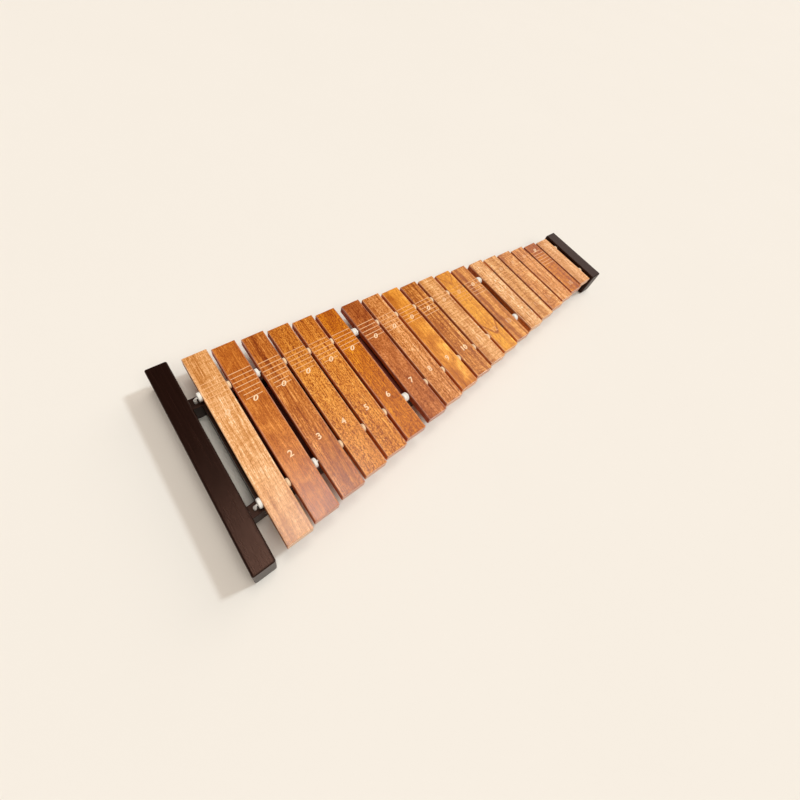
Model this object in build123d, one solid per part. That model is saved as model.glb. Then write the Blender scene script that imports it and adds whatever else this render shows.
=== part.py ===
"""Strung table xylophone: nineteen wooden bars threaded on one cord over a box of two rails.

Frame: millimetres, +Z up, +X from the bass end to the treble end, +Y from the player's side to the
far side. The origin is at the centre of the overall box, on the floor under the feet.
"""
from build123d import *
from math import atan2, cos, degrees, hypot, radians, sin
import os

# ---- overall layout -------------------------------------------------------------------------
TOP_Z = 45.0              # playing surface
FOOT_LIFT = 1.0           # the feet hold the blocks this far off the floor
RAIL_LIFT = 2.5           # underside of the rails above the floor
FIT = 0.1                 # glued and screwed joints, per side
TURN_FIT = 0.3            # between a bar and anything it moves past

# ---- tone bars ------------------------------------------------------------------------------
BAR_COUNT = 19
BAR_WIDTH = 30.0
BAR_THICK = 12.0
BAR_LONGEST = 257.0
BAR_SHORTEST = 117.0
BAR_CORNER = 1.0          # upright corners at both ends
BAR_EDGE = 0.9            # rounding round the playing face
ARCH_SPAN = 0.54          # tuning arch: part of the bar's length
ARCH_DEEP = 4.6           # arch depth under the longest bar
ARCH_SHALLOW = 2.4        # arch depth under the shortest bar
BAR_HOLE_R = 2.5

NARROW_GAP = 4.0
SLACK_ROOM = 2.3          # free room in the one gap where the threaded bars have parted a little
SLACK_COUNT = 2           # bars before that gap
WIDE_GAP = 10.0           # gaps that hold a screw eye between two washers
BASS_GAP = 14.4           # finger gap between bass block and first bar
TREBLE_GAP = 4.3

# ---- end blocks -----------------------------------------------------------------------------
BLOCK_WIDTH = 24.6
BASS_BLOCK_LENGTH = 266.0
TREBLE_BLOCK_LENGTH = 124.0
BLOCK_RISE = 3.0          # tops of the blocks above the playing surface
BLOCK_EDGE = 2.2
HOUSING_DEPTH = 5.0       # the rails stand in the blocks this deep

# ---- box ------------------------------------------------------------------------------------
RAIL_THICK = 15.0
RAIL_TOP_Z = 31.0
CORD_SPREAD_BASS = 147.8  # between the two cord lines at the bass block's inner face
CORD_SPREAD_TREBLE = 64.0  # and at the treble block's inner face
WALL_THICK = 8.0
WALL_SETBACK = -3.0       # cross wall's outer face from the first bar's edge
BRACE_THICK = 12.0
BOTTOM_THICK = 3.0
BOTTOM_Z = 5.5
GROOVE_DEPTH = 3.0
FELT_WIDTH = 11.0
FELT_THICK = 1.5

# ---- cord and what is threaded on it ----------------------------------------------------------
CORD_R = 1.25
CORD_BEND = 2.8
CORD_FIT = 0.2
CORD_END_X = -7.5         # where the cord ends go down, from the first bar's edge
CORD_END_Z = 17.0         # the ends stop here, inside the rails
WASHER_R = 5.1            # pale disc washers of the narrow gaps
PALE_COUNT = 11           # up to this bar they are pale, and so is the last one
BROWN_WASHER_R = 3.4      # the other narrow gaps hold small brown washers
WASHER_PLAY = 0.8         # they are this much thinner than their gap
WASHER_EDGE = 0.7
THICK_WASHER_R = 5.9      # white washers at the bass end, in the parted gap and round the eyes
THICK_WASHER = 4.2
THICK_WASHER_EDGE = 1.1
EYE_WASHER_ROOM = 2.2     # free room between the outer half barrel and its bar
EYE_WASHER_EDGE = 1.7     # rounding of that half barrel's open end
WASHER_FIT = 0.15
EYE_WIRE_R = 0.8
EYE_SHANK_R = 1.0
EYE_DEPTH = 9.0
EYE_POINT = 2.5
FERRULE_R = 2.0
FERRULE_RISE = 5.9        # sleeve above the rail, up to where the cord bends
FERRULE_NECK = 6.0        # and down into it

# ---- fasteners and feet -----------------------------------------------------------------------
BLOCK_SCREW_R = 2.0
BLOCK_SCREW_LENGTH = 55.0
BLOCK_SCREW_HEAD_R = 4.0
BLOCK_SCREW_Z = 9.0
WALL_SCREW_R = 1.6
WALL_SCREW_LENGTH = 34.0
WALL_SCREW_HEAD_R = 3.3
WALL_SCREW_Z = 14.0
SCREW_SINK = 0.5          # heads below the surface
FOOT_R = 7.0
FOOT_THICK = 2.5
FOOT_INSET = 16.0         # foot centre from the block's end

# ---- places worked out from the sizes above -----------------------------------------------------
WIDE_AFTER = (round(BAR_COUNT / 3), round(2 * BAR_COUNT / 3))    # a wide gap after each third of the row


def gap_after(bar):
    """Gap between this bar and the next one, bars counted from 1 at the bass end."""
    if bar in WIDE_AFTER:
        return WIDE_GAP
    return THICK_WASHER + SLACK_ROOM if bar == SLACK_COUNT else NARROW_GAP


ROW_LENGTH = BAR_COUNT * BAR_WIDTH + sum(gap_after(n) for n in range(1, BAR_COUNT))
TOTAL_LENGTH = 2 * BLOCK_WIDTH + BASS_GAP + ROW_LENGTH + TREBLE_GAP
BASS_FACE_X = BLOCK_WIDTH - TOTAL_LENGTH / 2
TREBLE_FACE_X = TOTAL_LENGTH / 2 - BLOCK_WIDTH
ROW_X = BASS_FACE_X + BASS_GAP

HOLE_Z = TOP_Z - BAR_THICK / 2
BAR_PLAY = BAR_HOLE_R - CORD_R - TURN_FIT
CORD_Z = HOLE_Z + BAR_PLAY
WALL_X = ROW_X + WALL_SETBACK
END_X = ROW_X + CORD_END_X
SLOPE = (CORD_SPREAD_BASS - CORD_SPREAD_TREBLE) / 2 / (TREBLE_FACE_X - BASS_FACE_X)
LINE_ANGLE = degrees(atan2(SLOPE, 1))
FELT_TOP_Z = RAIL_TOP_Z + FELT_THICK


def bar_x(bar):
    """X of a bar's bass-side face."""
    return ROW_X + (bar - 1) * BAR_WIDTH + sum(gap_after(n) for n in range(1, bar))


def bar_share(bar):
    return (bar - 1) / (BAR_COUNT - 1)


def bar_length(bar):
    return BAR_LONGEST + (BAR_SHORTEST - BAR_LONGEST) * bar_share(bar)


def line_y(x):
    """Distance of each cord line from the middle of the instrument."""
    return CORD_SPREAD_BASS / 2 - SLOPE * (x - BASS_FACE_X)


def along_line(x, z, side):
    """Location on a cord line: local X runs along the line, side is +1 far and -1 near."""
    return Pos(x, side * line_y(x), z) * Rot(0, 0, -side * LINE_ANGLE)


def rod(radius, length):
    """Cylinder along +X, starting at the origin."""
    return Rot(0, 90, 0) * Cylinder(radius, length, align=(Align.CENTER, Align.CENTER, Align.MIN))


def box_between(x0, x1, y0, y1, z0, z1):
    return Pos((x0 + x1) / 2, (y0 + y1) / 2, (z0 + z1) / 2) * Box(x1 - x0, y1 - y0, z1 - z0)


def trapezoid(x0, x1, inset, z0, z1):
    """Board between the cord lines, its long sides parallel to them and inset from them."""
    corners = [(x, side * (line_y(x) - inset)) for x, side in ((x0, 1), (x1, 1), (x1, -1), (x0, -1))]
    return Pos(0, 0, z0) * extrude(make_face(Polyline(*corners, close=True)), z1 - z0)


def line_board(x0, x1, side, width, z0, z1):
    """Board that follows one cord line, its ends square to the instrument."""
    half = width / 2 / cos(radians(LINE_ANGLE))
    corners = [(x, side * (line_y(x) + off)) for x, off in ((x0, half), (x1, half), (x1, -half), (x0, -half))]
    return Pos(0, 0, z0) * extrude(make_face(Polyline(*corners, close=True)), z1 - z0)


# ---- fasteners ------------------------------------------------------------------------------
def taper(wide, narrow, length):
    """Cone along +X, its wide end at the origin."""
    return Rot(0, 90, 0) * Cone(wide, narrow, length, align=(Align.CENTER, Align.CENTER, Align.MIN))


def screw(radius, length, head_r):
    """Countersunk wood screw along +X, its head sunk below the surface at the origin."""
    shank = length - 2 * radius
    body = taper(head_r, radius, head_r - radius) + rod(radius, shank) + Pos(shank, 0, 0) * taper(
        radius, 0.3, 2 * radius)
    for turn in (0, 90):
        body -= Rot(turn, 0, 0) * Box(1.8, 1.2 * head_r, 0.3 * head_r)
    return Pos(SCREW_SINK, 0, 0) * body


def screw_hole(radius, length, head_r):
    """What a screw takes out of the wood, with a little room round it."""
    mouth = Pos(-1, 0, 0) * rod(head_r + FIT, 1 + SCREW_SINK)
    sink = taper(head_r + FIT, radius + FIT, head_r - radius + FIT)
    return mouth + Pos(SCREW_SINK, 0, 0) * (sink + rod(radius + FIT, length + FIT))


def block_screw_places():
    """Heads of the long screws, on the outer faces of the two blocks, pointing inwards."""
    outer = TREBLE_FACE_X + BLOCK_WIDTH
    bass = [along_line(-outer, BLOCK_SCREW_Z, side) for side in (1, -1)]
    treble = [along_line(outer, BLOCK_SCREW_Z, side) * Rot(0, 0, 180) for side in (1, -1)]
    return bass, treble


def wall_screw_places(x):
    """Heads on the outer faces of the two rails, pointing at the board at this x."""
    places = []
    for side in (1, -1):
        inward = Rot(0, 0, -side * 90)
        places.append(along_line(x, WALL_SCREW_Z, side) * Pos(0, side * RAIL_THICK / 2, 0) * inward)
    return places


def group(shape, places):
    return Compound(children=[place * shape for place in places])


# ---- cord -----------------------------------------------------------------------------------
def corner_arc(before, corner, after, radius):
    """Arc that rounds a corner of the cord's route, with the two points where it begins and ends."""
    u, v = (before - corner).normalized(), (after - corner).normalized()
    half = radians(u.get_angle(v)) / 2
    reach = radius / (sin(half) / cos(half))
    middle = (u + v).normalized()
    centre = corner + middle * (radius / sin(half))
    return corner + u * reach, centre - middle * radius, corner + v * reach


def cord_route():
    """Middle line of the cord: up, along the near line, round the treble block, back and down."""
    turn_x = TREBLE_FACE_X + BLOCK_WIDTH - CORD_R - CORD_FIT
    corners = [Vector(END_X, -line_y(END_X), CORD_END_Z), Vector(END_X, -line_y(END_X), CORD_Z),
               Vector(turn_x, -line_y(turn_x), CORD_Z), Vector(turn_x, line_y(turn_x), CORD_Z),
               Vector(END_X, line_y(END_X), CORD_Z), Vector(END_X, line_y(END_X), CORD_END_Z)]
    edges, start = [], corners[0]
    for before, corner, after in zip(corners, corners[1:], corners[2:]):
        begin, middle, end = corner_arc(before, corner, after, CORD_BEND)
        edges += [Line(start, begin), ThreePointArc(begin, middle, end)]
        start = end
    edges.append(Line(start, corners[-1]))
    return Wire(edges)


def swept_along_cord(radius):
    route = cord_route()
    return sweep(Plane(route @ 0, z_dir=route % 0) * Circle(radius), path=route)


# ---- what is threaded on the cord ---------------------------------------------------------------
def washer(radius, thick, edge):
    """Washer along X with its middle at the origin, both rims rounded."""
    ring = rod(radius, thick) - rod(CORD_R + CORD_FIT, thick)
    ring = fillet(ring.edges().filter_by(GeomType.CIRCLE).sort_by(SortBy.RADIUS)[-2:], edge)
    return Pos(-thick / 2, 0, 0) * ring


def eye_washer_thick():
    """From just off a bar's face to just short of the other half barrel."""
    return WIDE_GAP / 2 - 2 * WASHER_FIT


def eye_washer(thick, edge):
    """Half of the barrel round a screw eye, with its middle at the origin and the eye on its +X side.

    It is hollowed for the eye's ring and notched below for its shank.
    """
    half = rod(THICK_WASHER_R, thick)
    half = fillet(half.edges().filter_by(GeomType.CIRCLE).sort_by(Axis.X)[0], edge)
    ring_r = CORD_R + CORD_FIT + 2 * EYE_WIRE_R + 2 * WASHER_FIT
    half -= rod(CORD_R + CORD_FIT, thick)
    half -= Pos(thick - EYE_WIRE_R, 0, 0) * rod(ring_r, EYE_WIRE_R)
    slot = EYE_SHANK_R + 2 * WASHER_FIT
    half -= box_between(thick - EYE_SHANK_R, thick + 1, -slot, slot, -THICK_WASHER_R - 1, 0)
    return Pos(-thick / 2, 0, 0) * half


def on_line(shape, x, side, turn=0):
    """Threaded pieces stand square to the bars' faces, so they stay upright on the slanting cord."""
    return Pos(x, side * line_y(x), CORD_Z) * Rot(0, 0, turn) * shape


def narrow_gaps(pale):
    """Bars with a narrow gap past them, or with the last gap, whose washers are pale or brown."""
    bars = [bar for bar in range(1, BAR_COUNT + 1) if bar == BAR_COUNT or gap_after(bar) == NARROW_GAP]
    return [bar for bar in bars if (bar <= PALE_COUNT or bar == BAR_COUNT) == pale]


def disc_washers(radius, pale, sides):
    """One washer in each of these gaps, each against the bar before it."""
    thick = NARROW_GAP - WASHER_PLAY
    shape = washer(radius, thick, WASHER_EDGE)
    middles = [bar_x(bar) + BAR_WIDTH + WASHER_FIT + thick / 2 for bar in narrow_gaps(pale)]
    return Compound(children=[on_line(shape, x, side) for x in middles for side in sides])


def thick_washers():
    """Washers before the first bar and in the parted gap, on both lines."""
    shape = washer(THICK_WASHER_R, THICK_WASHER, THICK_WASHER_EDGE)
    reach = WASHER_FIT + THICK_WASHER / 2
    middles = (ROW_X - reach, bar_x(SLACK_COUNT) + BAR_WIDTH + reach)
    return Compound(children=[on_line(shape, x, side) for x in middles for side in (1, -1)])


def eye_washers():
    """Two half barrels round each screw eye: one against its bar, and a shorter one that leaves some room."""
    inner = eye_washer(eye_washer_thick(), THICK_WASHER_EDGE)
    outer = eye_washer(eye_washer_thick() - EYE_WASHER_ROOM, EYE_WASHER_EDGE)
    inner_reach = WASHER_FIT + eye_washer_thick() / 2
    outer_reach = inner_reach - EYE_WASHER_ROOM / 2
    solids = []
    for x, side in eye_places():
        solids += [on_line(inner, x - inner_reach, side), on_line(outer, x + outer_reach, side, 180)]
    return Compound(children=solids)


def eye_places():
    return [(bar_x(bar) + BAR_WIDTH + WIDE_GAP / 2, side) for bar in WIDE_AFTER for side in (1, -1)]


def screw_eye():
    """Wire ring round the cord, on a pointed shank. Local origin at the cord's middle."""
    ring_r = CORD_R + CORD_FIT + EYE_WIRE_R
    ring = Rot(0, 90, 0) * Torus(ring_r, EYE_WIRE_R)
    length = CORD_Z - RAIL_TOP_Z + EYE_DEPTH - ring_r
    shank = Pos(0, 0, -ring_r - length / 2) * Cylinder(EYE_SHANK_R, length)
    point = Pos(0, 0, -ring_r - length) * Rot(0, 90, 0) * taper(EYE_SHANK_R, 0.3, EYE_POINT)
    clear = Pos(-ring_r, 0, 0) * rod(CORD_R + CORD_FIT, 2 * ring_r)
    return ring + shank + point - clear


def cord_eyes():
    return Compound(children=[Pos(x, side * line_y(x), CORD_Z) * screw_eye() for x, side in eye_places()])


def eye_hole(x, side):
    depth = EYE_DEPTH + EYE_POINT + FIT
    middle = RAIL_TOP_Z + FELT_THICK - (depth + FELT_THICK) / 2
    return Pos(x, side * line_y(x), middle) * Cylinder(EYE_SHANK_R + FIT, depth + FELT_THICK)


def cord_ferrule():
    """Sleeve that wedges a cord end in its hole. Local origin at the rail's top."""
    sleeve = Pos(0, 0, (FERRULE_RISE - FERRULE_NECK) / 2) * Cylinder(FERRULE_R, FERRULE_RISE + FERRULE_NECK)
    sleeve = fillet(sleeve.edges().group_by(Axis.Z)[-1], (FERRULE_R - CORD_R - CORD_FIT) / 2)
    return sleeve - Cylinder(CORD_R + CORD_FIT, 4 * (FERRULE_NECK + FERRULE_RISE))


# ---- box ------------------------------------------------------------------------------------
def rail(side):
    board = line_board(BASS_FACE_X - HOUSING_DEPTH, TREBLE_FACE_X + HOUSING_DEPTH, side,
                       RAIL_THICK, RAIL_LIFT, RAIL_TOP_Z)
    board = fillet(board.edges().filter_by(lambda e: abs(e.tangent_at(0.5).X) > 0.9), 1.0)
    board -= bottom_groove()
    for x, own in eye_places():
        if own == side:
            board -= eye_hole(x, side)
    end = Pos(END_X, side * line_y(END_X), RAIL_TOP_Z)
    board -= end * Cylinder(CORD_R + CORD_FIT, 2 * (RAIL_TOP_Z - CORD_END_Z + FIT))
    board -= end * Cylinder(FERRULE_R + FIT, 2 * (FERRULE_NECK + FIT))
    bass, treble = block_screw_places()
    for place in bass + treble:
        board -= place * screw_hole(BLOCK_SCREW_R, BLOCK_SCREW_LENGTH, BLOCK_SCREW_HEAD_R)
    for x in cross_board_middles():
        for place in wall_screw_places(x):
            board -= place * screw_hole(WALL_SCREW_R, WALL_SCREW_LENGTH, WALL_SCREW_HEAD_R)
    return board


def cross_board_middles():
    """X of the middles of the bass cross wall and of the two braces."""
    return [WALL_X + WALL_THICK / 2] + [bar_x(bar) + BAR_WIDTH + WIDE_GAP / 2 for bar in WIDE_AFTER]


def cross_board(index):
    """Bass cross wall (0) or a brace (1, 2), cut to the rails' slope at both ends."""
    thick, low = (WALL_THICK, RAIL_LIFT) if index == 0 else (BRACE_THICK, BOTTOM_Z + BOTTOM_THICK)
    x = cross_board_middles()[index]
    inset = RAIL_THICK / 2 / cos(radians(LINE_ANGLE))
    board = trapezoid(x - thick / 2, x + thick / 2, inset, low, RAIL_TOP_Z)
    if index == 0:
        board -= bottom_groove()
    for place in wall_screw_places(x):
        board -= place * screw_hole(WALL_SCREW_R, WALL_SCREW_LENGTH, WALL_SCREW_HEAD_R)
    return board


def box_bottom():
    inset = RAIL_THICK / 2 / cos(radians(LINE_ANGLE)) - GROOVE_DEPTH + FIT
    start = WALL_X + WALL_THICK - GROOVE_DEPTH + FIT
    return trapezoid(start, TREBLE_FACE_X - FIT, inset, BOTTOM_Z, BOTTOM_Z + BOTTOM_THICK)


def bottom_groove():
    inset = RAIL_THICK / 2 / cos(radians(LINE_ANGLE)) - GROOVE_DEPTH
    start = WALL_X + WALL_THICK - GROOVE_DEPTH
    return trapezoid(start, TREBLE_FACE_X, inset, BOTTOM_Z, BOTTOM_Z + BOTTOM_THICK)


def felt_strip(side):
    strip = line_board(ROW_X + 1, ROW_X + ROW_LENGTH - 1, side, FELT_WIDTH, RAIL_TOP_Z, FELT_TOP_Z)
    for x, own in eye_places():
        if own == side:
            strip -= eye_hole(x, side)
    return strip


# ---- end blocks and feet --------------------------------------------------------------------------
def foot_places(x, length):
    return [Pos(x, side * (length / 2 - FOOT_INSET), 0) for side in (1, -1)]


def rubber_feet():
    foot = Pos(0, 0, FOOT_THICK / 2) * Cylinder(FOOT_R, FOOT_THICK)
    foot = chamfer(foot.edges().group_by(Axis.Z)[0], 0.6)
    middle = TREBLE_FACE_X + BLOCK_WIDTH / 2
    return group(foot, foot_places(-middle, BASS_BLOCK_LENGTH) + foot_places(middle, TREBLE_BLOCK_LENGTH))


def end_block(x0, length, screws):
    """Block with rounded edges, housings for the rails, screw holes and foot recesses."""
    block = box_between(x0, x0 + BLOCK_WIDTH, -length / 2, length / 2, FOOT_LIFT, TOP_Z + BLOCK_RISE)
    block = fillet(block.edges(), BLOCK_EDGE)
    for side in (1, -1):
        block -= line_board(BASS_FACE_X - HOUSING_DEPTH - FIT, TREBLE_FACE_X + HOUSING_DEPTH + FIT, side,
                            RAIL_THICK + 2 * FIT, 0, RAIL_TOP_Z + FIT)
    for place in screws:
        block -= place * screw_hole(BLOCK_SCREW_R, BLOCK_SCREW_LENGTH, BLOCK_SCREW_HEAD_R)
    for place in foot_places(x0 + BLOCK_WIDTH / 2, length):
        block -= place * Pos(0, 0, FOOT_THICK / 2) * Cylinder(FOOT_R + FIT, FOOT_THICK)
    return block


def bass_end_block():
    return end_block(BASS_FACE_X - BLOCK_WIDTH, BASS_BLOCK_LENGTH, block_screw_places()[0])


def treble_end_block():
    """The short block also has the channel in which the cord turns back, open to its outer face."""
    block = end_block(TREBLE_FACE_X, TREBLE_BLOCK_LENGTH, block_screw_places()[1])
    block -= swept_along_cord(CORD_R + CORD_FIT)
    outer = TREBLE_FACE_X + BLOCK_WIDTH
    reach, half = line_y(outer) - CORD_BEND, CORD_R + CORD_FIT
    slot = box_between(outer - half, outer + 1, -reach, reach, CORD_Z - half, CORD_Z + half)
    return block - slot


# ---- tone bars ------------------------------------------------------------------------------
def tone_bar(bar):
    length = bar_length(bar)
    low = TOP_Z - BAR_THICK
    body = box_between(0, BAR_WIDTH, -length / 2, length / 2, low, TOP_Z)
    body = fillet(body.edges().filter_by(Axis.Z), BAR_CORNER)
    body = fillet(body.faces().sort_by(Axis.Z)[-1].edges(), BAR_EDGE)
    depth = ARCH_DEEP + (ARCH_SHALLOW - ARCH_DEEP) * bar_share(bar)
    half = ARCH_SPAN * length / 2
    radius = (half * half + depth * depth) / (2 * depth)
    body -= Pos(-1, 0, low + depth - radius) * rod(radius, BAR_WIDTH + 2)
    body = Pos(bar_x(bar), 0, 0) * body
    middle = bar_x(bar) + BAR_WIDTH / 2
    for side in (1, -1):
        body -= along_line(middle, HOLE_Z, side) * Pos(-BAR_WIDTH, 0, 0) * rod(BAR_HOLE_R, 2 * BAR_WIDTH)
    return body


# ---- write the parts ----------------------------------------------------------------------------
def nodes():
    bass_screws, treble_screws = block_screw_places()
    wall_x, brace_x = cross_board_middles()[0], cross_board_middles()[1:]
    block_screw = screw(BLOCK_SCREW_R, BLOCK_SCREW_LENGTH, BLOCK_SCREW_HEAD_R)
    wall_screw = screw(WALL_SCREW_R, WALL_SCREW_LENGTH, WALL_SCREW_HEAD_R)
    cord_ends = [Pos(END_X, side * line_y(END_X), RAIL_TOP_Z) for side in (1, -1)]
    yield "bass_end_block", bass_end_block()
    yield "treble_end_block", treble_end_block()
    yield "near_rail", rail(-1)
    yield "far_rail", rail(1)
    yield "bass_cross_wall", cross_board(0)
    yield "bass_brace", cross_board(1)
    yield "treble_brace", cross_board(2)
    yield "box_bottom", box_bottom()
    yield "near_felt_strip", felt_strip(-1)
    yield "far_felt_strip", felt_strip(1)
    yield "stringing_cord", swept_along_cord(CORD_R)
    yield "near_washers", disc_washers(WASHER_R, True, (-1,))
    yield "far_washers", disc_washers(WASHER_R, True, (1,))
    yield "brown_washers", disc_washers(BROWN_WASHER_R, False, (-1, 1))
    yield "thick_washers", thick_washers()
    yield "eye_washers", eye_washers()
    yield "cord_eyes", cord_eyes()
    yield "cord_ferrules", group(cord_ferrule(), cord_ends)
    yield "bass_block_screws", group(block_screw, bass_screws)
    yield "treble_block_screws", group(block_screw, treble_screws)
    yield "cross_wall_screws", group(wall_screw, wall_screw_places(wall_x))
    yield "brace_screws", group(wall_screw, [p for x in brace_x for p in wall_screw_places(x)])
    yield "rubber_feet", rubber_feet()
    for bar in range(1, BAR_COUNT + 1):
        yield f"tone_bar_{bar:02d}", tone_bar(bar)


os.makedirs("parts", exist_ok=True)
for name, shape in nodes():
    export_step(shape, f"parts/{name}.step")
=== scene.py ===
"""Looks of a strung table xylophone: woods, stain, felts, cord, printed marks and stage."""
from math import pi, radians, sin
from typing import NamedTuple

import bmesh
import bpy
from bpy.props import FloatProperty, FloatVectorProperty, PointerProperty
from mathutils import Matrix, Vector


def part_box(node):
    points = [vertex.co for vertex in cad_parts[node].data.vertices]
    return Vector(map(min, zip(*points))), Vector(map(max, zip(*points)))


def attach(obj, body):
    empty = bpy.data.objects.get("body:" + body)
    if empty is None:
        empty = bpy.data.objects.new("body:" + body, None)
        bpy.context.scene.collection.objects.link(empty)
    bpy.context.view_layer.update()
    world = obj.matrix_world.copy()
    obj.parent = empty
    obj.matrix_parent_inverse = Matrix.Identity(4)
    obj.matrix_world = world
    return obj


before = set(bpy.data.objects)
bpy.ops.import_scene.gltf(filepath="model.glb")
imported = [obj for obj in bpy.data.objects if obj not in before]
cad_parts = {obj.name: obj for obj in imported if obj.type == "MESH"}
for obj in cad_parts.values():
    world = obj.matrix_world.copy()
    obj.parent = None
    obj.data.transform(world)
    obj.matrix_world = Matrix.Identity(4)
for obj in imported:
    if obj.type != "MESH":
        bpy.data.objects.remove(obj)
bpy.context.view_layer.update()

bl_info = {
    "name": "Strung Table Xylophone",
    "version": (1, 0, 0),
    "blender": (4, 5, 0),
    "location": "View3D > Sidebar > Xylophone",
    "description": "Finishes a table xylophone: bars, printed marks, frame, cord, felts and stage",
    "category": "Object",
}

MM = 0.001
BARS = sorted(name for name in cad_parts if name.startswith("tone_bar_"))
BLOCKS = ("bass_end_block", "treble_end_block")
RAILS = ("near_rail", "far_rail")
BRACES = ("bass_brace", "treble_brace")
SCREWS = ("bass_block_screws", "treble_block_screws", "cross_wall_screws", "brace_screws")


def srgb(red, green, blue):
    """Linear colour of a paint chip given as three numbers up to 255."""
    def linear(value):
        value /= 255
        return value / 12.92 if value <= 0.04045 else ((value + 0.055) / 1.055) ** 2.4
    return linear(red), linear(green), linear(blue)


class Wood(NamedTuple):
    """One bar's piece of wood, and how clearly the print shows on it."""
    face: tuple             # colour of the face
    near_end: float         # how much paler, or below nought deeper, the near end is; partly the wood's tone, partly painted shade
    far_end: float          # how much paler, or below nought deeper, the far end is
    streaks: float          # strength of the long streaks and veins
    pores: float            # of the short dark dashes
    speckle: float          # of the fine flecks
    mottle: float           # of the soft clouds
    ripple: float           # of the bands across the bar
    print_clarity: float


# The bars' woods, from the longest bar to the shortest.
BAR_WOODS = (
    Wood(srgb(238, 175, 112), -0.60, -0.38, 0.50, 0.20, 0.30, 0.12, 0.22, 0.30),
    Wood(srgb(198, 112, 36), -0.32, -0.18, 0.44, 0.36, 0.16, 0.60, 0.05, 1.00),
    Wood(srgb(197, 114, 40), -0.34, -0.30, 0.80, 0.55, 0.20, 0.26, 0.00, 1.00),
    Wood(srgb(210, 127, 40), -0.04, -0.33, 0.20, 0.95, 0.25, 0.18, 0.00, 0.72),
    Wood(srgb(209, 124, 37), -0.03, -0.16, 0.52, 0.95, 0.20, 0.20, 0.00, 0.72),
    Wood(srgb(193, 103, 10), -0.15, -0.11, 0.58, 0.75, 0.12, 0.28, 0.00, 0.85),
    Wood(srgb(185, 102, 40), -0.15, -0.44, 0.36, 0.63, 0.40, 0.75, 0.12, 1.00),
    Wood(srgb(217, 140, 70), -0.14, -0.17, 0.55, 0.70, 0.15, 0.26, 0.25, 0.65),
    Wood(srgb(228, 145, 45), 0.00, -0.12, 0.32, 0.30, 0.10, 0.72, 0.00, 0.65),
    Wood(srgb(196, 116, 38), 0.00, -0.32, 0.82, 0.62, 0.35, 0.20, 0.45, 0.80),
    Wood(srgb(225, 157, 87), -0.03, 0.03, 0.38, 0.28, 0.30, 0.30, 0.50, 0.35),
    Wood(srgb(226, 145, 31), 0.10, -0.15, 0.42, 0.22, 0.30, 0.35, 0.18, 0.25),
    Wood(srgb(194, 114, 36), 0.17, 0.00, 0.72, 0.34, 0.24, 0.24, 0.35, 0.65),
    Wood(srgb(233, 167, 99), 0.00, -0.04, 0.46, 0.60, 0.30, 0.22, 0.32, 0.15),
    Wood(srgb(219, 150, 77), -0.02, 0.07, 0.36, 0.50, 0.30, 0.25, 0.42, 0.20),
    Wood(srgb(217, 140, 64), -0.14, -0.44, 0.50, 0.60, 0.50, 0.50, 0.50, 0.20),
    Wood(srgb(218, 139, 63), 0.11, -0.24, 0.95, 0.60, 0.25, 0.26, 0.26, 0.20),
    Wood(srgb(197, 109, 10), -0.18, -0.44, 0.34, 0.50, 0.28, 0.32, 0.45, 0.80),
    Wood(srgb(223, 155, 88), -0.03, -0.13, 0.38, 0.50, 0.25, 0.25, 0.24, 0.20),
)

# Broad stripes along some bars, in millimetres: distance from the bar's middle, half width, and how
# much paler (or, below nought, deeper) the stripe is.
BAR_STRIPES = {
    1: ((5, 4, 0.14), (-7, 4, -0.10)),
    3: ((-2, 2.5, -0.30), (-5, 3, -0.10), (4, 3, 0.12)),
    4: ((-7, 3, -0.12), (-1, 3, 0.08)),
    5: ((-3, 2, -0.12), (4, 4, 0.12), (10, 2.5, -0.08)),
    6: ((-12, 3, 0.16),),
    8: ((-10, 4, -0.20), (2, 5, 0.08), (9, 3, -0.26), (13, 2, 0.20)),
    9: ((-10, 6, -0.30), (4, 5, 0.12), (13, 3, 0.20)),
    10: ((-13, 2, -0.15), (-8, 3, -0.28), (-1, 2, -0.25),
         (3, 2.5, 0.30), (7, 2.5, -0.38), (12, 3, 0.35)),
    11: ((-11, 5, -0.35), (10, 3, -0.18)),
    12: ((6, 4, -0.08), (13, 2, 0.12)),
    13: ((-13, 2, 0.15), (-7, 4, -0.55), (3, 6, 0.35),
         (7, 3, 0.12), (10, 2, -0.35), (14, 2, 0.20)),
    14: ((-14, 2.5, -0.60), (-8, 3, -0.10)),
    15: ((-12, 4, 0.12), (-1, 5, -0.28), (10, 4, 0.22)),
    16: ((-13, 3, -0.20), (-6, 5, -0.14), (10, 5, 0.34)),
    17: ((-7, 1.5, -0.14), (-2, 1.5, -0.10), (6, 1.5, -0.12)),
    18: ((-13, 4, 0.28), (-6, 3, -0.08), (7, 4, -0.14)),
    19: ((-10, 7, -0.28), (5, 5, 0.22)),
}

# Flat-sawn bars, in millimetres: tips of their pointed growth lines along Y, thickness and depth.
BAR_ARCHES = {
    9: ((-34, 5.0, -0.18), (-58, 4.0, -0.24), (-80, 6.0, -0.18)),
    12: ((-52, 5.0, -0.85), (60, 5.0, -0.40)),
}
ARCH_SLOPE = 1.9            # how far a growth line runs along the bar for each step across it
ARCH_ROUND = 4 * MM         # rounding of its tip

# Pigment takes least from the red of a wood, and most from its blue.
PIGMENT_POWERS = (1.0, 1.7, 3.1)

STRIPE_SPREAD = 1.5                 # a stripe fades out at this many of its half widths
SIDE_BOUNCE_TINT = (1.0, 0.72, 0.45)       # painted red bounce light on the bars' long sides, redder than their faces
SIDE_SHADE_DEPTH = -0.05                  # and painted shade on them, a little deeper
EDGE_HIGHLIGHT, END_FACE_LIGHT = 0.5, 0.85     # shares of painted highlight on the face's long edges and of painted light on the end faces
SAWN_ROUGH, POLISHED_ROUGH = 0.34, 0.20     # of the stained wood's sides and of the blocks' tops

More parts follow.
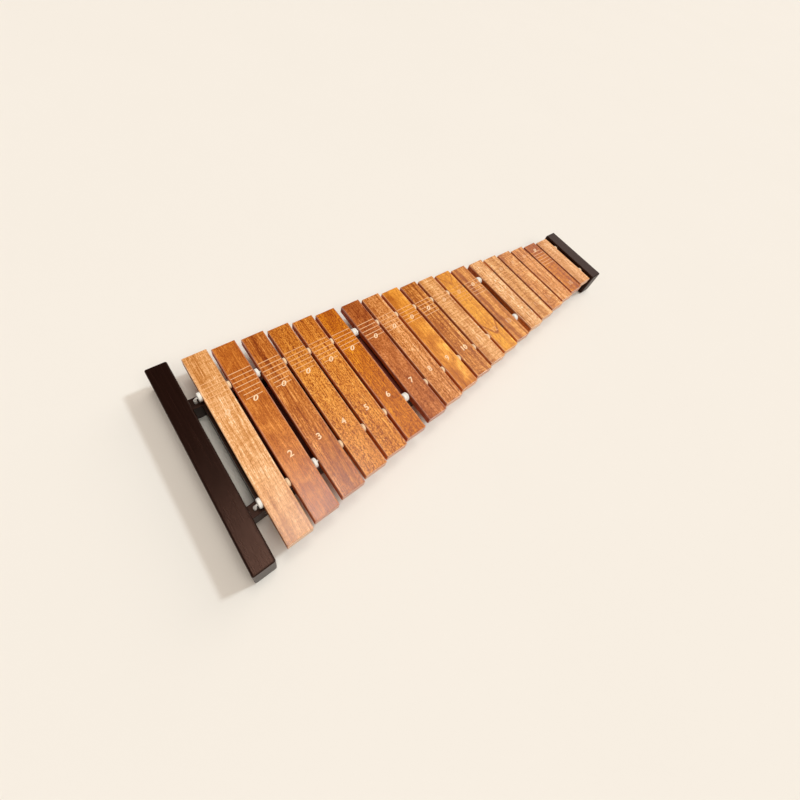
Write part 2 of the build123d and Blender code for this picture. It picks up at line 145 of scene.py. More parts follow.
# Staff, notes and numbers on the bars.
STAFF_LINES = 5
LOWEST_NOTE = -6                    # steps of the longest bar's note above the bottom line
LEDGER_LENGTH = 3.1                 # length of a ledger line, in note sizes
THIN_INK_TINT = (1.0, 0.88, 0.76)   # the wood shows through the thin staff lines
THIN_INK_CLARITY = 0.8
BOLD_INK_EXTRA = 0.2                # notes and numbers are printed clearer than the lines
CLEAR_NUMBERS = 11                  # the numbers past this bar are rubbed thin
RUBBED_CLARITY = 0.4
FIGURE_SHARE = 0.69                 # height of a figure in a font of size 1
NOTE_SEGMENTS = 32
NOTE_THICKNESS = 2.4                # in thicknesses of the ink, of which one is sunk in the wood
# An open note's outline and its opening, for a note of size 1: half length, half width, tilt.
NOTE_OVALS = ((0.61, 0.42, radians(50)), (0.43, 0.16, radians(56)))

# Far lamps: name, direction towards it, the angle that it fills in degrees, strength and colour.
LAMPS = (
    ("room", (-0.05, -0.45, 1.0), 44, 1.31, (0.99, 0.985, 0.94)),
    ("ceiling", (0.12, 0.12, 1.0), 15, 0.50, (1.0, 0.98, 0.95)),
    ("shelf", (0.44, 0.05, 1.0), 32, 0.20, (1.0, 0.97, 0.94)),
    ("window", (0.69, -0.15, 1.0), 6, 1.12, (0.78, 0.90, 1.0)),
    ("wall", (1.40, 0.30, 1.0), 40, 0.42, (1.0, 0.97, 0.94)),
)
LAMP_DISTANCE = 3                   # metres
FILL_COLOUR, FILL_STRENGTH = (1.0, 0.70, 0.60), 0.19            # soft light from all round
BACKDROP_COLOUR, BACKDROP_STRENGTH = (1.0, 0.92, 0.81), 0.95
BACKDROP_TOP = (0.15, 0.45)         # heights at which the reflected backdrop begins to fade, and ends
FLOOR_REACH = 40                    # metres
SENSOR_WIDTH = 36                   # millimetres


class FinishSettings(bpy.types.PropertyGroup):
    grain_contrast: FloatProperty(
        name="Grain contrast", description="How far the bars' grain departs from their face colour",
        default=1.0, min=0, max=2, subtype="FACTOR")
    stain: FloatVectorProperty(
        name="Frame stain", description="Dark stain on the end blocks, rails and cross wall",
        default=srgb(20, 7, 4), size=3, min=0, max=1, subtype="COLOR")
    bare_wood: FloatVectorProperty(
        name="Bare boards", description="Unstained wood of the bottom board and braces",
        default=srgb(112, 40, 16), size=3, min=0, max=1, subtype="COLOR")
    felt: FloatVectorProperty(
        name="Thick washers", description="White felt of the thick washers",
        default=srgb(253, 250, 240), size=3, min=0, max=1, subtype="COLOR")
    # The thin washers' tan is partly painted shade of the narrow gaps between the bars.
    disc_felt: FloatVectorProperty(
        name="Disc washers", description="Pale tan felt of the thin washers between the bars",
        default=srgb(254, 220, 178), size=3, min=0, max=1, subtype="COLOR")
    brown_felt: FloatVectorProperty(
        name="Brown washers", description="Brown felt of the small washers at the treble end",
        default=srgb(92, 46, 20), size=3, min=0, max=1, subtype="COLOR")
    cord: FloatVectorProperty(
        name="Cord", description="Undyed cord that carries the bars",
        default=srgb(252, 249, 242), size=3, min=0, max=1, subtype="COLOR")
    strip: FloatVectorProperty(
        name="Strip felt", description="Dark felt on top of the rails",
        default=srgb(92, 42, 26), size=3, min=0, max=1, subtype="COLOR")


class MarkSettings(bpy.types.PropertyGroup):
    colour: FloatVectorProperty(
        name="Mark colour", description="Cream ink of the staff lines, notes and numbers",
        default=srgb(255, 224, 182), size=3, min=0, max=1, subtype="COLOR")
    proud: FloatProperty(
        name="Ink thickness", description="Height of the ink above the wood",
        default=0.03 * MM, min=0.01 * MM, max=0.2 * MM, precision=5, subtype="DISTANCE")
    line_width: FloatProperty(
        name="Line width", description="Width of a staff line",
        default=0.9 * MM, min=0.2 * MM, max=3 * MM, precision=4, subtype="DISTANCE")
    line_gap: FloatProperty(
        name="Staff spacing", description="Distance from one staff line to the next",
        default=6.7 * MM, min=2 * MM, max=12 * MM, precision=4, subtype="DISTANCE")
    note_y: FloatProperty(
        name="Note place", description="Distance of the lowest note from the middle of the bars",
        default=36.5 * MM, min=10 * MM, max=60 * MM, precision=4, subtype="DISTANCE")
    note_rise: FloatProperty(
        name="Note rise", description="How much farther out the highest note is printed",
        default=10.5 * MM, min=0, max=20 * MM, precision=4, subtype="DISTANCE")
    note_size: FloatProperty(
        name="Note size", description="Outside length of a note's ring",
        default=6.6 * MM, min=2 * MM, max=15 * MM, precision=4, subtype="DISTANCE")
    number_y: FloatProperty(
        name="Number place", description="Distance of every number from the middle of the bars",
        default=-46 * MM, min=-60 * MM, max=-10 * MM, precision=4, subtype="DISTANCE")
    number_height: FloatProperty(
        name="Number height", description="Height of the bar numbers",
        default=7.8 * MM, min=2 * MM, max=15 * MM, precision=4, subtype="DISTANCE")
    number_weight: FloatProperty(
        name="Number weight", description="How far the numbers' strokes are widened on each side",
        default=0.2 * MM, min=0, max=0.5 * MM, precision=5, subtype="DISTANCE")
    side_room: FloatProperty(
        name="Side room", description="Bare wood between a line's end and the bar's side",
        default=1.1 * MM, min=0, max=6 * MM, precision=4, subtype="DISTANCE")


class StageSettings(bpy.types.PropertyGroup):
    floor: FloatVectorProperty(
        name="Floor", description="Pale cream table under the instrument",
        default=srgb(240, 234, 223), size=3, min=0, max=1, subtype="COLOR")
    camera_place: FloatVectorProperty(
        name="Camera place", description="Where the camera stands",
        default=(-0.3579, -0.2021, 0.5465), size=3, subtype="TRANSLATION")
    azimuth: FloatProperty(
        name="Azimuth", description="Turn of the view from +Y towards +X",
        default=radians(57.21), subtype="ANGLE")
    elevation: FloatProperty(
        name="Elevation", description="Angle of the view below the horizon",
        default=radians(50.45), subtype="ANGLE")
    roll: FloatProperty(
        name="Roll", description="Turn of the picture about the view",
        default=radians(22.37), subtype="ANGLE")
    lens: FloatProperty(
        name="Lens", description="Focal length on a 36 mm wide sensor, in millimetres",
        default=19.22, min=5, max=200)
    shift: FloatVectorProperty(
        name="Shift", description="Sideways and upward shift of the picture",
        default=(-0.0345, -0.1005), size=2)


# ---- node helpers -----------------------------------------------------------------------------
def material(name):
    """New material with its node tree and its shader."""
    made = bpy.data.materials.new(name)
    made.use_nodes = True
    return made, made.node_tree, made.node_tree.nodes["Principled BSDF"]


def place(tree, kind, inputs=None, **settings):
    """New node with its settings and its inputs, each input a value or the socket it comes from."""
    node = tree.nodes.new("ShaderNode" + kind)
    for key, value in settings.items():
        setattr(node, key, value)
    for key, value in (inputs or {}).items():
        if isinstance(value, bpy.types.NodeSocket):
            tree.links.new(value, node.inputs[key])
        else:
            node.inputs[key].default_value = value
    return node


def shade(shader, **inputs):
    """Sets a shader's plain inputs, named with _ for a space."""
    for key, value in inputs.items():
        shader.inputs[key.replace("_", " ")].default_value = value


def point_axes(tree):
    """X, Y and Z of a point on the piece."""
    return place(tree, "SeparateXYZ", {"Vector": place(tree, "TexCoord").outputs["Object"]}).outputs


def grid(tree, scale=(1, 1, 1), offset=(0, 0, 0), turn=(0, 0, 0)):
    """Object coordinates, moved, turned and stretched."""
    here = place(tree, "TexCoord").outputs["Object"]
    moved = place(tree, "Mapping", {"Vector": here, "Location": offset, "Rotation": turn})
    return place(tree, "Mapping", {"Vector": moved.outputs[0], "Scale": scale}).outputs[0]


def noise(tree, coords, scale=1.0, detail=3.0, roughness=0.55, distortion=0.0):
    """Cloudy noise over the given coordinates, mostly between 0.3 and 0.7."""
    return place(tree, "TexNoise", {
        "Vector": coords, "Scale": scale, "Detail": detail, "Roughness": roughness,
        "Distortion": distortion}).outputs["Fac"]


def calc(tree, operation, first, second=0.0, third=0.0, clamp=False):
    """Result of a Math node on values or sockets."""
    values = {0: first, 1: second, 2: third}
    return place(tree, "Math", values, operation=operation, use_clamp=clamp).outputs[0]


def spread(tree, value, low, high, to_low=0.0, to_high=1.0):
    """Value stretched from one range to another, held at its ends."""
    return place(tree, "MapRange", {
        "Value": value, "From Min": low, "From Max": high,
        "To Min": to_low, "To Max": to_high}).outputs[0]


def mixed(tree, share, first, second, blend="MIX"):
    """Colour between two colours or colour sockets, which a colour Mix node has at 6 and 7."""
    inputs = {0: share}
    for index, colour in ((6, first), (7, second)):
        given = isinstance(colour, bpy.types.NodeSocket)
        inputs[index] = colour if given else (*colour[:3], 1)
    return place(tree, "Mix", inputs, data_type="RGBA", blend_type=blend).outputs[2]


def finish_surface(tree, shader, colour, rough, height, depth):
    """Colour, roughness and bump of a surface; depth is the relief in metres."""
    bump = place(tree, "Bump", {"Height": height, "Distance": depth, "Strength": 1.0})
    tree.links.new(colour, shader.inputs["Base Color"])
    tree.links.new(rough, shader.inputs["Roughness"])
    tree.links.new(bump.outputs[0], shader.inputs["Normal"])


# ---- finishes ---------------------------------------------------------------------------------
def tinted(colour, red, green, blue):
    """Colour with each of its parts multiplied."""
    return colour[0] * red, colour[1] * green, colour[2] * blue


def swing(tree, value):
    """Noise stretched to run from -1 to 1."""
    return spread(tree, value, 0.32, 0.68, -1, 1)


def smooth_bump(tree, distance, reach, height):
    """Height where the distance is none, falling smoothly to nothing at the reach."""
    return place(tree, "MapRange", {
        "Value": distance, "From Min": 0.0, "From Max": reach, "To Min": height, "To Max": 0.0},
        interpolation_type="SMOOTHSTEP").outputs[0]


def pigment(tree, face, depth):
    """Face colour deepened below nought and paled above it, in doublings of its red."""
    parts = [calc(tree, "MULTIPLY", calc(tree, "POWER", 2.0 ** power, depth), part, clamp=True)
             for part, power in zip(face, PIGMENT_POWERS)]
    return place(tree, "CombineColor", dict(zip(("Red", "Green", "Blue"), parts))).outputs[0]


def grain_depth(tree, number, across, along, half_length):
    """How much paler or deeper than its face colour a bar is, from point to point."""
    wood = BAR_WOODS[number - 1]
    offset = (0.37 * number, 0.61 * number, 0.23 * number)      # no two bars share their grain
    askew = (0, 0, radians(0.8 * sin(2.3 * number)))
    straight = (0, 0, 0)

    def layer(scale, turn=askew, **look):
        return noise(tree, grid(tree, scale, offset, turn), **look)

    streak = layer((430, 15, 430), detail=4, roughness=0.6)
    fine = layer((1000, 60, 1000), detail=3)
    dash = layer((1300, 420, 1300), detail=1, roughness=0.6)
    row = layer((900, 14, 900), detail=1)
    vein = layer((520, 7, 520), detail=3, roughness=0.5, distortion=0.3)
    fleck = layer((760, 340, 760), straight, detail=3, roughness=0.7)
    cloud = layer((55, 24, 55), straight, detail=3, distortion=0.8)
    curl = layer((75, 360, 75), straight, detail=2, distortion=0.4)
    length_tone = layer((4, 9, 4), straight, detail=1)

    depth = calc(tree, "MULTIPLY", swing(tree, length_tone), 0.06)
    for value, weight in ((streak, 0.55 * wood.streaks), (fine, 0.12 + 0.35 * wood.streaks),
                          (fleck, 0.9 * wood.speckle), (cloud, 0.5 * wood.mottle),
                          (curl, 0.6 * wood.ripple)):
        depth = calc(tree, "MULTIPLY_ADD", swing(tree, value), weight, depth)
    crowded = spread(tree, row, 0.36, 0.60, 0.25, 1.0)
    pore = calc(tree, "MULTIPLY", spread(tree, dash, 0.44, 0.60), crowded)
    dark_pores = spread(tree, pore, 0.0, 1.0, 0.40 * wood.pores, -1.25 * wood.pores)
    dark_veins = spread(tree, vein, 0.55, 0.66, 0.08 * wood.streaks, -0.6 * wood.streaks)
    depth = calc(tree, "ADD", calc(tree, "ADD", depth, dark_pores), dark_veins)

    wavy = calc(tree, "MULTIPLY_ADD", calc(tree, "SUBTRACT", cloud, 0.5), 5 * MM, across)
    for middle, reach, strength in BAR_STRIPES.get(number, ()):
        distance = calc(tree, "ABSOLUTE", calc(tree, "SUBTRACT", wavy, middle * MM))
        stripe = smooth_bump(tree, distance, STRIPE_SPREAD * reach * MM, strength)
        depth = calc(tree, "ADD", depth, stripe)
    for tip, thick, strength in BAR_ARCHES.get(number, ()):
        depth = calc(tree, "ADD", depth, arch(tree, wavy, along, tip * MM, thick * MM, strength))
    # A deeper near end is partly painted shade, where the light falls off towards it.
    for side, tone in ((-1, wood.near_end), (1, wood.far_end)):
        start, end = side * 0.4 * half_length, side * 0.85 * half_length
        depth = calc(tree, "ADD", depth, spread(tree, along, start, end, 0, tone))
    return depth


def arch(tree, across, along, tip, thick, strength):
    """Pointed growth line that opens towards the far end."""
    bend = calc(tree, "SQRT", calc(tree, "MULTIPLY_ADD", across, across, ARCH_ROUND ** 2))
    past_tip = calc(tree, "SUBTRACT", along, tip - ARCH_SLOPE * ARCH_ROUND)
    line = calc(tree, "MULTIPLY_ADD", bend, -ARCH_SLOPE, past_tip)
    return smooth_bump(tree, calc(tree, "ABSOLUTE", line), thick, strength)


def bar_wood(number, low, high, contrast):
    """Lacquered hardwood of one bar, grain along Y; painted highlight on its edges, painted light on
    its ends, painted shade and red bounce light on its sides.
    """
    face = BAR_WOODS[number - 1].face
    made, tree, shader = material(f"bar_wood_{number:02d}")
    x, along, z = point_axes(tree)
    across = calc(tree, "SUBTRACT", x, (low[0] + high[0]) / 2)
    half_width, half_length, top = (high[0] - low[0]) / 2, high[1], high[2]

    # Shares of a point's look: below the face, on the end grain, and on a long side.
    below = spread(tree, z, top - 3 * MM, top - 0.9 * MM, 1, 0)
    end = spread(tree, calc(tree, "ABSOLUTE", along), half_length - 0.7 * MM, half_length - 0.1 * MM)
    side = calc(tree, "MULTIPLY", below, calc(tree, "SUBTRACT", 1.0, end))
    depth = grain_depth(tree, number, across, along, half_length)
    # The long sides get painted shade and painted red bounce light.
    depth = calc(tree, "MULTIPLY_ADD", side, SIDE_SHADE_DEPTH, depth)
    colour = pigment(tree, face, calc(tree, "MULTIPLY", depth, contrast))
    colour = mixed(tree, side, colour, SIDE_BOUNCE_TINT, "MULTIPLY")

    # Painted highlight in a patchy band along the face's long edges, and painted light on the end
    # faces, both a paler copy of the face.
    patchiness = noise(tree, grid(tree, (300, 60, 300), (number, 0, 0)), detail=2)
    highlight_mask = calc(tree, "MULTIPLY_ADD", patchiness, 2.2 * MM, calc(tree, "ABSOLUTE", across))
    highlight_mask = spread(tree, highlight_mask, half_width - 0.4 * MM, half_width + 1.2 * MM)
    highlight_mask = calc(tree, "MULTIPLY", highlight_mask, calc(tree, "SUBTRACT", 1.0, below))
    edge_light, end_light = calc(tree, "MULTIPLY", highlight_mask, EDGE_HIGHLIGHT), calc(tree, "MULTIPLY", end, END_FACE_LIGHT)
    painted_pale = tuple(min(0.9, 0.3 + 0.75 * part) for part in face)
    colour = mixed(tree, calc(tree, "MAXIMUM", edge_light, end_light), colour, painted_pale)

    fine = noise(tree, grid(tree, (1000, 60, 1000)), detail=3)
    lacquer = calc(tree, "MULTIPLY_ADD", fine, 0.12, 0.16)
    rough = calc(tree, "MULTIPLY_ADD", below, 0.5, lacquer)
    finish_surface(tree, shader, colour, rough, fine, 0.03 * MM)
    shade(shader, Specular_IOR_Level=0.5)
    return made


def stained_wood(name, stain, along_x=False, polished_top=None):
    """Dark stained wood, its grain along Y or along X; only a top at the given height is polished."""
    made, tree, shader = material(name)
    stretch = (1, 28, 28) if along_x else (28, 1, 28)
    grain = noise(tree, grid(tree, tuple(20 * s for s in stretch)), detail=4, roughness=0.6)
    fine = noise(tree, grid(tree, tuple(70 * s for s in stretch)), detail=2)
    cloud = noise(tree, grid(tree, (14, 14, 14)), detail=2)
    dark, light = tinted(stain, 0.55, 0.5, 0.5), tinted(stain, 1.5, 1.45, 1.4)
    colour = mixed(tree, spread(tree, grain, 0.3, 0.75), dark, light)
    colour = mixed(tree, spread(tree, fine, 0.58, 0.7, 0, 0.5), colour, tinted(stain, 0.3, 0.3, 0.3))
    colour = mixed(tree, spread(tree, cloud, 0.4, 0.7, 0, 0.35), colour, tinted(stain, 1.7, 1.4, 1.3))
    base = SAWN_ROUGH
    if polished_top is not None:
        low, high = polished_top - 3 * MM, polished_top - 1.5 * MM
        base = spread(tree, point_axes(tree)["Z"], low, high, SAWN_ROUGH, POLISHED_ROUGH)
    rough = calc(tree, "MULTIPLY_ADD", grain, 0.12, base)
    finish_surface(tree, shader, colour, rough, fine, 0.06 * MM)
    shade(shader, Specular_IOR_Level=0.34, Specular_Tint=(1.0, 0.56, 0.42, 1))
    return made


def bare_board(name, colour):
    """Unstained board of the box under the bars, its grain along X."""
    made, tree, shader = material(name)
    grain = noise(tree, grid(tree, (25, 500, 500)), detail=3)
    cloud = noise(tree, grid(tree, (12, 40, 40)), detail=2)
    tone = mixed(tree, spread(tree, grain, 0.3, 0.7), tinted(colour, 0.78, 0.72, 0.64), colour)
    tone = mixed(tree, spread(tree, cloud, 0.4, 0.7, 0, 0.4), tone, tinted(colour, 0.85, 0.8, 0.74))
    rough = calc(tree, "MULTIPLY_ADD", grain, 0.1, 0.6)
    finish_surface(tree, shader, tone, rough, grain, 0.05 * MM)
    return made


def felt(name, colour):
    """Pressed wool felt, matted fibres in every direction."""
    made, tree, shader = material(name)
    fibre = noise(tree, grid(tree, (2600, 2600, 2600)), detail=3, roughness=0.7, distortion=1.5)
    clump = noise(tree, grid(tree, (420, 420, 420)), detail=2)
    shadow, light = tinted(colour, 0.84, 0.81, 0.76), tinted(colour, 1.05, 1.05, 1.05)
    tone = mixed(tree, spread(tree, fibre, 0.3, 0.7), shadow, light)
    tone = mixed(tree, spread(tree, clump, 0.35, 0.65, 0, 0.3), tone, tinted(colour, 0.88, 0.86, 0.82))
    rough = calc(tree, "MULTIPLY_ADD", fibre, 0.1, 0.85)
    finish_surface(tree, shader, tone, rough, calc(tree, "ADD", fibre, clump), 0.25 * MM)
    shade(shader, Sheen_Weight=0.3, Sheen_Roughness=0.5)
    return made


def laid_cord(name, colour):
    """Round cotton cord with fine fibres on its surface."""
    made, tree, shader = material(name)
    fibre = noise(tree, grid(tree, (1800, 1800, 1800)), detail=3, roughness=0.65)
    tone = mixed(tree, spread(tree, fibre, 0.3, 0.7), tinted(colour, 0.86, 0.83, 0.78), colour)
    rough = calc(tree, "MULTIPLY_ADD", fibre, 0.1, 0.75)
    finish_surface(tree, shader, tone, rough, fibre, 0.12 * MM)
    shade(shader, Sheen_Weight=0.25)
    return made


def nickel(name):
    """Nickel-plated steel with faint wiping marks."""
    made, tree, shader = material(name)
    wipe = noise(tree, grid(tree, (900, 900, 90)), detail=2)
    spots = noise(tree, grid(tree, (500, 500, 500)), detail=2)
    tone = mixed(tree, spread(tree, spots, 0.45, 0.75), srgb(205, 202, 196), srgb(160, 155, 146))
    rough = calc(tree, "MULTIPLY_ADD", wipe, 0.22, 0.18)
    finish_surface(tree, shader, tone, rough, wipe, 0.01 * MM)
    shade(shader, Metallic=1.0)
    return made


def moulded(name, colour, roughness, depth):
    """Moulded plastic or rubber with a fine satin texture."""
    made, tree, shader = material(name)
    grain = noise(tree, grid(tree, (1600, 1600, 1600)), detail=2)
    smudge = noise(tree, grid(tree, (130, 130, 130)), detail=2)
    tone = mixed(tree, spread(tree, smudge, 0.35, 0.7), colour, tinted(colour, 0.8, 0.78, 0.74))
    rough = calc(tree, "MULTIPLY_ADD", grain, 0.12, roughness)
    finish_surface(tree, shader, tone, rough, grain, depth)
    return made


def ink(name, colour, face, clarity):
    """Printed cream ink, thinner on some bars and a little worn."""
    made, tree, shader = material(name)
    colour = tuple(clarity * part + (1 - clarity) * under for part, under in zip(colour, face))
    patchiness = noise(tree, grid(tree, (700, 700, 700)), detail=3, roughness=0.7)
    tone = mixed(tree, spread(tree, patchiness, 0.45, 0.72), colour, tinted(colour, 0.9, 0.76, 0.62))
    rough = calc(tree, "MULTIPLY_ADD", patchiness, 0.15, 0.4)
    finish_surface(tree, shader, tone, rough, patchiness, 0.01 * MM)
    return made


def dress(node_name, made):
    """Gives a carried-over piece its finish."""
    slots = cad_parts[node_name].data.materials
    slots.clear()
    slots.append(made)


# ---- mesh helpers -----------------------------------------------------------------------------
def new_piece(name, bm, made, body):
    """Turns a bmesh into a finished piece that rides on a body."""
    mesh = bpy.data.meshes.new(name)
    bm.to_mesh(mesh)
    bm.free()
    mesh.materials.append(made)
    piece = bpy.data.objects.new(name, mesh)
    bpy.context.scene.collection.objects.link(piece)
    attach(piece, body)
    return piece


def flat_strip(bm, middle, size):
    """Thin strip of ink centred on a point of the bar's face."""
    corners = bmesh.ops.create_cube(bm, size=1)["verts"]
    bmesh.ops.scale(bm, verts=corners, vec=size)
    bmesh.ops.translate(bm, verts=corners, vec=middle)


def ring_note(bm, middle, size, height):
    """Open note in an empty bmesh: an oval ring with a slanting oval opening."""
    for half_length, half_width, tilt in NOTE_OVALS:
        loop = bmesh.ops.create_circle(bm, cap_ends=False, radius=1, segments=NOTE_SEGMENTS)["verts"]
        bmesh.ops.scale(bm, verts=loop, vec=(half_length * size, half_width * size, 1))
        bmesh.ops.rotate(bm, verts=loop, cent=(0, 0, 0), matrix=Matrix.Rotation(tilt, 3, "Z"))
    ring = bmesh.ops.bridge_loops(bm, edges=bm.edges[:])["faces"]
    raised = bmesh.ops.extrude_face_region(bm, geom=ring)["geom"]
    upper = [part for part in raised if isinstance(part, bmesh.types.BMVert)]
    bmesh.ops.translate(bm, verts=upper, vec=(0, 0, height))
    bmesh.ops.translate(bm, verts=bm.verts, vec=middle)
    bmesh.ops.recalc_face_normals(bm, faces=bm.faces)


def staff_rows(step, width, ledger):
    """Place on the staff and length of each line, for a note so many steps above the bottom line."""
    top_line = STAFF_LINES - 1
    rows = [(line, width) for line in range(STAFF_LINES)]
    rows += [(-line, ledger) for line in range(1, -step // 2 + 1)]
    rows += [(top_line + line, ledger) for line in range(1, (step - 2 * top_line) // 2 + 1)]
    return rows


def figure_bmesh(context, text, settings):
    """Raised figures of a number, centred where the axes meet."""
    figure = bpy.data.curves.new("figure", "FONT")
    figure.body = text
    figure.size = settings.number_height / FIGURE_SHARE
    figure.extrude, figure.offset = settings.proud, settings.number_weight
    figure.align_x, figure.align_y = "CENTER", "CENTER"
    holder = bpy.data.objects.new("figure", figure)
    context.scene.collection.objects.link(holder)
    context.view_layer.update()
    bm = bmesh.new()
    bm.from_mesh(holder.evaluated_get(context.evaluated_depsgraph_get()).to_mesh())
    bmesh.ops.remove_doubles(bm, verts=bm.verts, dist=1e-7)
    bmesh.ops.recalc_face_normals(bm, faces=bm.faces)
    bpy.data.objects.remove(holder)
    bpy.data.curves.remove(figure)
    return bm


def bold_clarity(number):
    """How clearly a bar's note is printed, and its number where it isn't rubbed."""
    return min(1.0, BAR_WOODS[number - 1].print_clarity + BOLD_INK_EXTRA)


def bar_places():
    """Number, name, and lowest and highest corner of each bar, from the longest."""
    for number, name in enumerate(BARS, 1):
        yield number, name, *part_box(name)


# ---- operators --------------------------------------------------------------------------------
class XYLO_OT_tone_bars(bpy.types.Operator):
    """Give each tone bar its own piece of lacquered hardwood"""
    bl_idname = "xylo.tone_bars"
    bl_label = "Tone Bars"

    def execute(self, context):
        contrast = context.scene.xylo_finish.grain_contrast
        for number, name, low, high in bar_places():
            dress(name, bar_wood(number, low, high, contrast))
        return {"FINISHED"}


class XYLO_OT_dark_frame(bpy.types.Operator):
    """Stain the end blocks, rails and cross wall, and finish the bare boards between them"""
    bl_idname = "xylo.dark_frame"
    bl_label = "Dark Frame"

    def execute(self, context):
        settings = context.scene.xylo_finish
        stain, bare = tuple(settings.stain), tuple(settings.bare_wood)
        block_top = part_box("bass_end_block")[1][2]
        crosswise = stained_wood("stained_crosswise", stain, polished_top=block_top)
        lengthwise = stained_wood("stained_lengthwise", stain, along_x=True)
        for name in (*BLOCKS, "bass_cross_wall"):
            dress(name, crosswise)
        for name in RAILS:
            dress(name, lengthwise)
        dress("box_bottom", bare_board("bare_plywood", bare))
        for name in BRACES:
            dress(name, bare_board("bare_" + name, bare))
        return {"FINISHED"}


class XYLO_OT_threading(bpy.types.Operator):
    """Finish the cord, the washers on it, its eyes and ferrules, and the felt strips"""
    bl_idname = "xylo.threading"
    bl_label = "Cord and Felts"

    def execute(self, context):
        settings = context.scene.xylo_finish
        felts = (
            ("white_felt", settings.felt, ("thick_washers", "eye_washers")),
            ("tan_felt", settings.disc_felt, ("near_washers", "far_washers")),
            ("brown_felt", settings.brown_felt, ("brown_washers",)),
            ("strip_felt", settings.strip, ("near_felt_strip", "far_felt_strip")),
        )
        for felt_name, colour, nodes in felts:
            made = felt(felt_name, tuple(colour))
            for name in nodes:
                dress(name, made)
        dress("stringing_cord", laid_cord("cord_yarn", tuple(settings.cord)))
        dress("cord_eyes", nickel("nickel_eyes"))
        dress("cord_ferrules", moulded("ferrule_nylon", srgb(246, 243, 236), 0.38, 0.01 * MM))
        return {"FINISHED"}


class XYLO_OT_fasteners(bpy.types.Operator):
    """Finish the screws and the rubber feet"""
    bl_idname = "xylo.fasteners"
    bl_label = "Screws and Feet"

    def execute(self, context):
        plated = nickel("nickel_screws")
        for name in SCREWS:
            dress(name, plated)
        dress("rubber_feet", moulded("foot_rubber", srgb(38, 36, 35), 0.72, 0.04 * MM))
        return {"FINISHED"}


class XYLO_OT_staff_marks(bpy.types.Operator):
    """Print five staff lines across the far part of each bar, and the bar's note on them"""
    bl_idname = "xylo.staff_marks"
    bl_label = "Staff Marks"

    def execute(self, context):
        settings = context.scene.xylo_marks
        colour = tuple(settings.colour)
        for number, name, low, high in bar_places():
            wood = BAR_WOODS[number - 1]
            thin_colour = tinted(colour, *THIN_INK_TINT)
            thin_clarity = THIN_INK_CLARITY * wood.print_clarity
            thin = ink(f"staff_ink_{number:02d}", thin_colour, wood.face, thin_clarity)
            bold = ink(f"note_ink_{number:02d}", colour, wood.face, bold_clarity(number))
            step = LOWEST_NOTE + number - 1
            note_y = settings.note_y + settings.note_rise * ((number - 1) / (len(BARS) - 1)) ** 2
            bottom = note_y - step * settings.line_gap / 2
            middle, width = (low[0] + high[0]) / 2, high[0] - low[0] - 2 * settings.side_room

            bm = bmesh.new()
            for line, length in staff_rows(step, width, LEDGER_LENGTH * settings.note_size):
                y = bottom + line * settings.line_gap
                if abs(y) < high[1] - 2 * settings.side_room:
                    size = (length, settings.line_width, 2 * settings.proud)
                    flat_strip(bm, (middle, y, high[2]), size)
            new_piece(f"staff_{number:02d}", bm, thin, name)

            bm = bmesh.new()
            foot = (middle, note_y, high[2] - settings.proud)
            ring_note(bm, foot, settings.note_size, NOTE_THICKNESS * settings.proud)
            new_piece(f"note_{number:02d}", bm, bold, name)
        return {"FINISHED"}


class XYLO_OT_bar_numbers(bpy.types.Operator):
    """Print a plain number on the near part of each bar"""
    bl_idname = "xylo.bar_numbers"
    bl_label = "Bar Numbers"

    def execute(self, context):
        settings = context.scene.xylo_marks
        for number, name, low, high in bar_places():
            clarity = bold_clarity(number) * (1.0 if number <= CLEAR_NUMBERS else RUBBED_CLARITY)
            face = BAR_WOODS[number - 1].face
            made = ink(f"number_ink_{number:02d}", tuple(settings.colour), face, clarity)
            bm = figure_bmesh(context, str(number), settings)
            middle = ((low[0] + high[0]) / 2, settings.number_y, high[2])
            bmesh.ops.translate(bm, verts=bm.verts, vec=middle)
            new_piece(f"number_{number:02d}", bm, made, name)
        return {"FINISHED"}


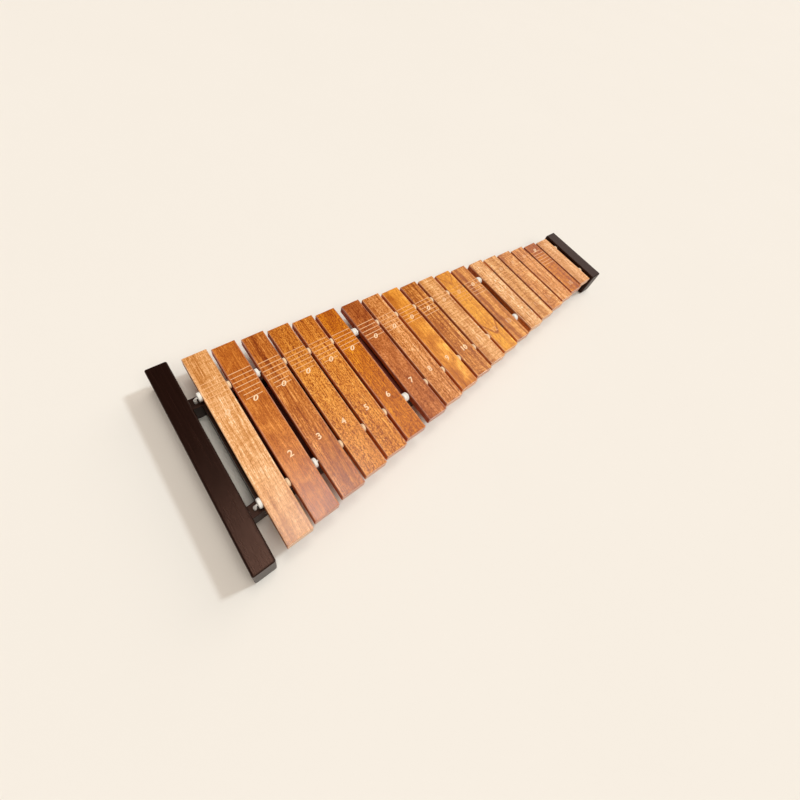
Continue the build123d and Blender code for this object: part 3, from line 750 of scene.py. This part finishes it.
class XYLO_OT_stage(bpy.types.Operator):
    """Set the floor, the lamps, the backdrop and the camera"""
    bl_idname = "xylo.stage"
    bl_label = "Stage"

    def execute(self, context):
        scene, settings = context.scene, context.scene.xylo_stage
        self.floor(scene, settings)
        for lamp in LAMPS:
            self.lamp(scene, *lamp)
        self.backdrop(scene)
        self.camera(scene, settings)
        scene.view_settings.view_transform = "Standard"
        return {"FINISHED"}

    def floor(self, scene, settings):
        """Pale table, wide enough to reach the horizon."""
        bm = bmesh.new()
        bmesh.ops.create_grid(bm, x_segments=1, y_segments=1, size=FLOOR_REACH)
        mesh = bpy.data.meshes.new("floor")
        bm.to_mesh(mesh)
        bm.free()
        floor = bpy.data.objects.new("floor", mesh)
        made, tree, shader = material("table_cream")
        cloud = noise(tree, grid(tree, (3, 3, 3)), detail=2)
        colour = tuple(settings.floor)
        tone = mixed(tree, cloud, tinted(colour, 0.985, 0.985, 0.98), colour)      # barely cloudy
        tree.links.new(tone, shader.inputs["Base Color"])
        shade(shader, Roughness=0.85, Specular_IOR_Level=0.2)
        mesh.materials.append(made)
        scene.collection.objects.link(floor)

    def backdrop(self, scene):
        """Soft light all round, and a pale wall on the horizon that only sight and reflections meet."""
        world = bpy.data.worlds.new("studio")
        world.use_nodes = True
        tree = world.node_tree
        ray = place(tree, "LightPath").outputs
        toward = place(tree, "TexCoord").outputs["Generated"]
        height = place(tree, "SeparateXYZ", {0: toward}).outputs[2]
        reflected = calc(tree, "ADD", ray["Is Glossy Ray"], ray["Is Transmission Ray"], clamp=True)
        wall = calc(tree, "MULTIPLY", reflected, spread(tree, height, *BACKDROP_TOP, 1.0, 0.0))
        seen = calc(tree, "MAXIMUM", ray["Is Camera Ray"], wall)
        background = tree.nodes["Background"]
        colour = mixed(tree, seen, FILL_COLOUR, BACKDROP_COLOUR)
        tree.links.new(colour, background.inputs["Color"])
        strength = spread(tree, seen, 0.0, 1.0, FILL_STRENGTH, BACKDROP_STRENGTH)
        tree.links.new(strength, background.inputs["Strength"])
        scene.world = world

    def lamp(self, scene, name, toward, width, strength, colour):
        """Far, broad lamp; its width is the angle it fills, in degrees."""
        light = bpy.data.lights.new(name, "SUN")
        light.angle, light.energy, light.color = radians(width), strength, colour
        lamp = bpy.data.objects.new(name, light)
        lamp.location = Vector(toward) * LAMP_DISTANCE
        lamp.rotation_euler = Vector(toward).to_track_quat("Z", "Y").to_euler()
        scene.collection.objects.link(lamp)

    def camera(self, scene, settings):
        """Camera at its place, turned, tilted down and rolled."""
        data = bpy.data.cameras.new("camera")
        data.lens, data.sensor_width = settings.lens, SENSOR_WIDTH
        data.shift_x, data.shift_y = settings.shift
        data.clip_start = 0.01
        camera = bpy.data.objects.new("camera", data)
        tilt = Matrix.Rotation(pi / 2 - settings.elevation, 4, "X")
        turn = Matrix.Rotation(-settings.azimuth, 4, "Z")
        roll = Matrix.Rotation(settings.roll, 4, "Z")
        camera.matrix_world = Matrix.Translation(settings.camera_place) @ turn @ tilt @ roll
        scene.collection.objects.link(camera)
        scene.camera = camera


class XYLO_PT_panel(bpy.types.Panel):
    """Sidebar panel with the settings and every step"""
    bl_idname = "XYLO_PT_panel"
    bl_label = "Strung Table Xylophone"
    bl_space_type = "VIEW_3D"
    bl_region_type = "UI"
    bl_category = "Xylophone"

    def draw(self, context):
        layout = self.layout
        for operator in OPERATORS:
            layout.operator(operator.bl_idname)
        for name, group in GROUPS.items():
            box = layout.box()
            for prop in group.__annotations__:
                box.prop(getattr(context.scene, name), prop)


GROUPS = {"xylo_finish": FinishSettings, "xylo_marks": MarkSettings, "xylo_stage": StageSettings}
OPERATORS = (XYLO_OT_tone_bars, XYLO_OT_dark_frame, XYLO_OT_threading, XYLO_OT_fasteners,
             XYLO_OT_staff_marks, XYLO_OT_bar_numbers, XYLO_OT_stage)


def register():
    for group in GROUPS.values():
        bpy.utils.register_class(group)
    for name, group in GROUPS.items():
        setattr(bpy.types.Scene, name, PointerProperty(type=group))
    for cls in (*OPERATORS, XYLO_PT_panel):
        bpy.utils.register_class(cls)


def unregister():
    for cls in (XYLO_PT_panel, *reversed(OPERATORS)):
        bpy.utils.unregister_class(cls)
    for name, group in GROUPS.items():
        delattr(bpy.types.Scene, name)
        bpy.utils.unregister_class(group)


def main():
    register()
    bpy.ops.xylo.tone_bars()
    bpy.ops.xylo.dark_frame()
    bpy.ops.xylo.threading()
    bpy.ops.xylo.fasteners()
    bpy.ops.xylo.staff_marks()
    bpy.ops.xylo.bar_numbers()
    bpy.ops.xylo.stage()


if __name__ == "__main__":
    main()
